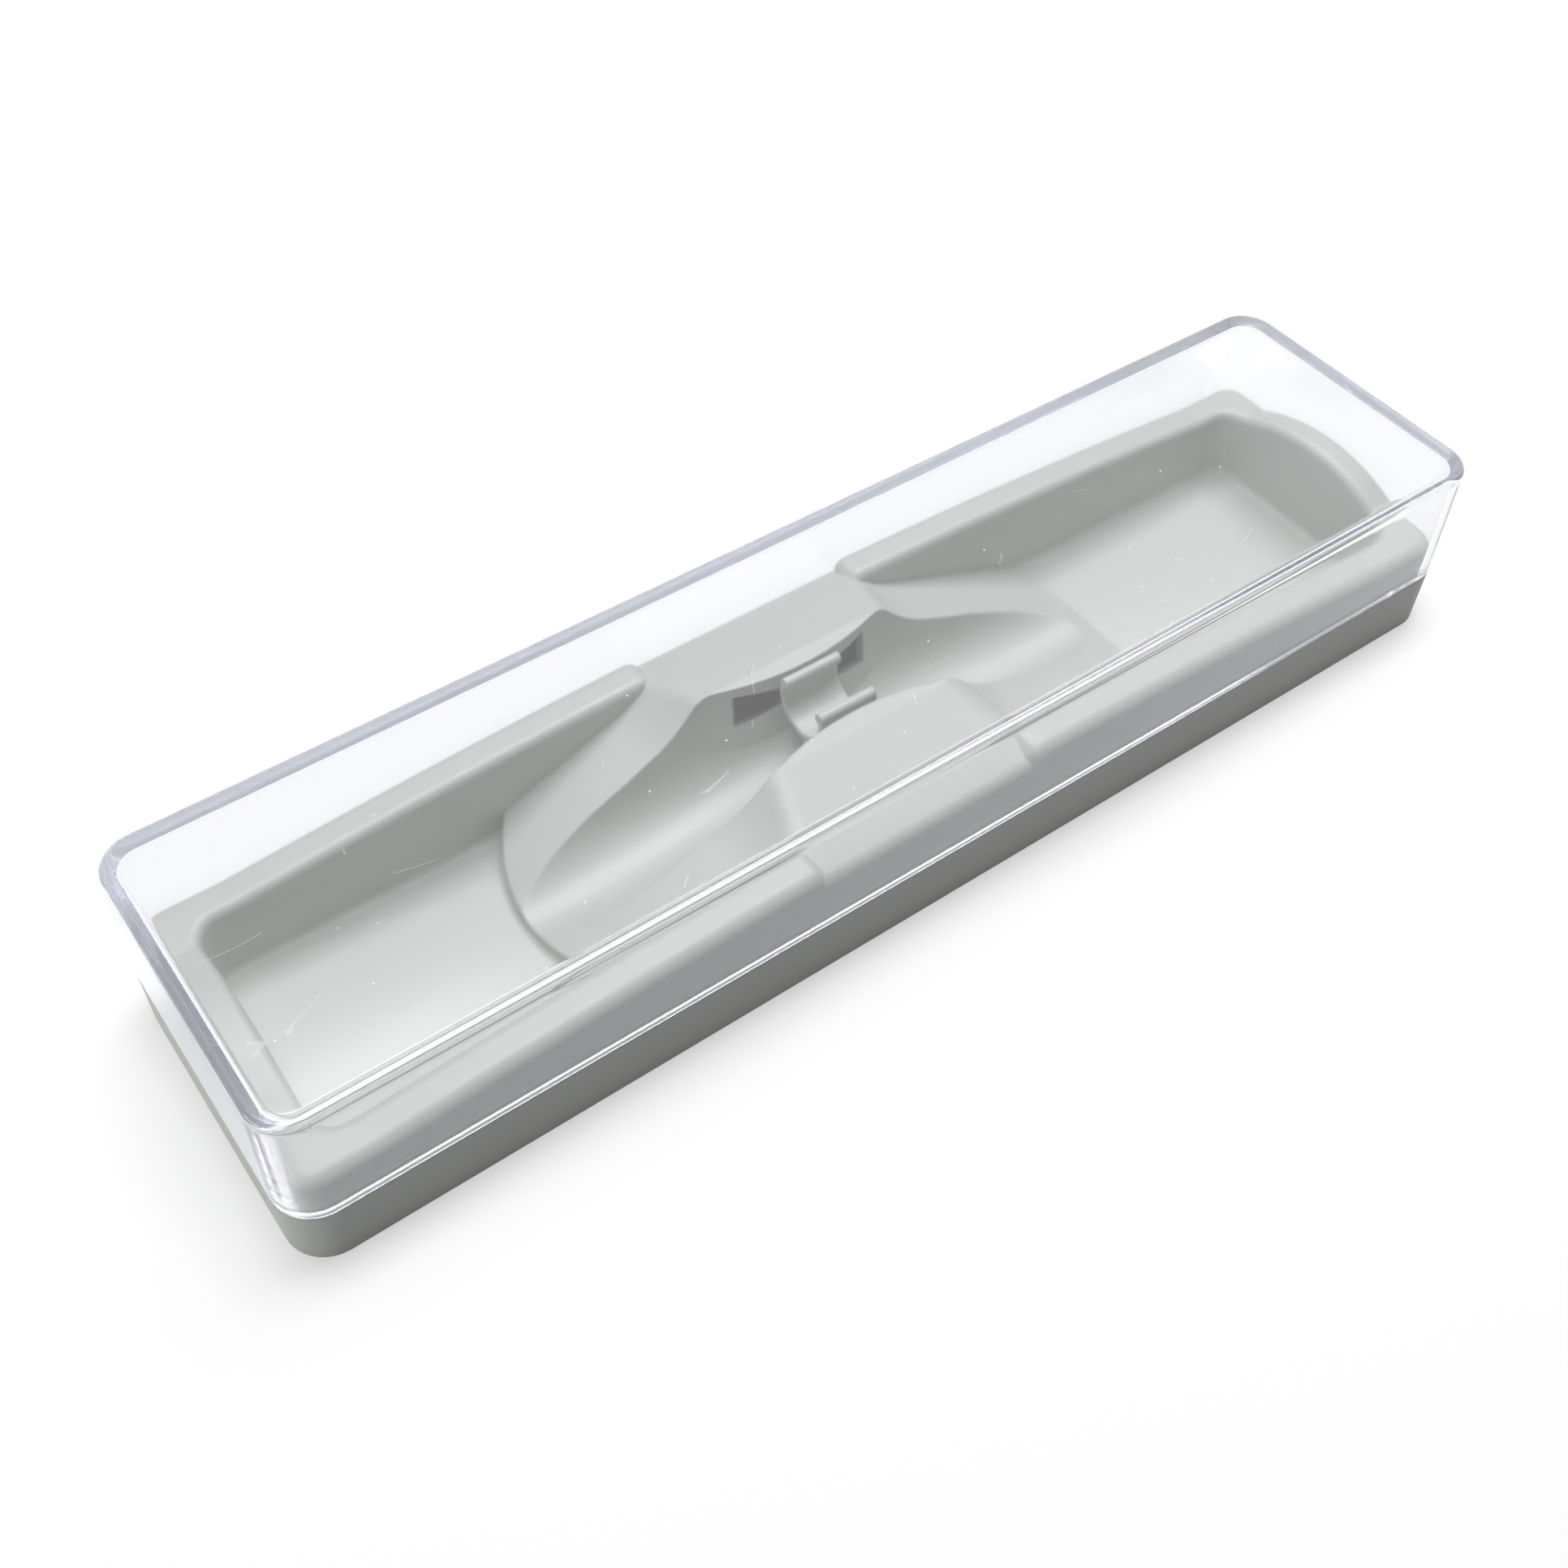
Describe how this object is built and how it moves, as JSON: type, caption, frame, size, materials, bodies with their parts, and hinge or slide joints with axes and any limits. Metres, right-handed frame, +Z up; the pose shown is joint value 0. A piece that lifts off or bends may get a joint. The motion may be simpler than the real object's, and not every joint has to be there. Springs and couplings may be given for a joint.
{
  "type": "pen box",
  "caption": "Long plastic presentation box for one pen: grey moulded base with a sculpted saddle and spring clip, under a clear slip-over lid.",
  "frame": {"origin": "middle of the base's bottom face, on the surface it stands on", "axes": "+Z up; +X along the box, away from the end that the saddle and clip are nearer to; +Y to the back"},
  "size_m": [0.17, 0.0424, 0.0255],
  "materials": {
    "base_plastic": "fine satin, moulded polystyrene, light cool grey",
    "lid_clear": "clear gloss, moulded crystal polystyrene"
  },
  "bodies": {
    "base": {"base": "base_plastic"},
    "lid": {"lid": "lid_clear"}
  },
  "joints": [
    {"name": "lid_lift", "type": "slide", "parent": "base", "child": "lid", "axis": [0, 0, 1], "range_m": [0, 0.03]}
  ]
}
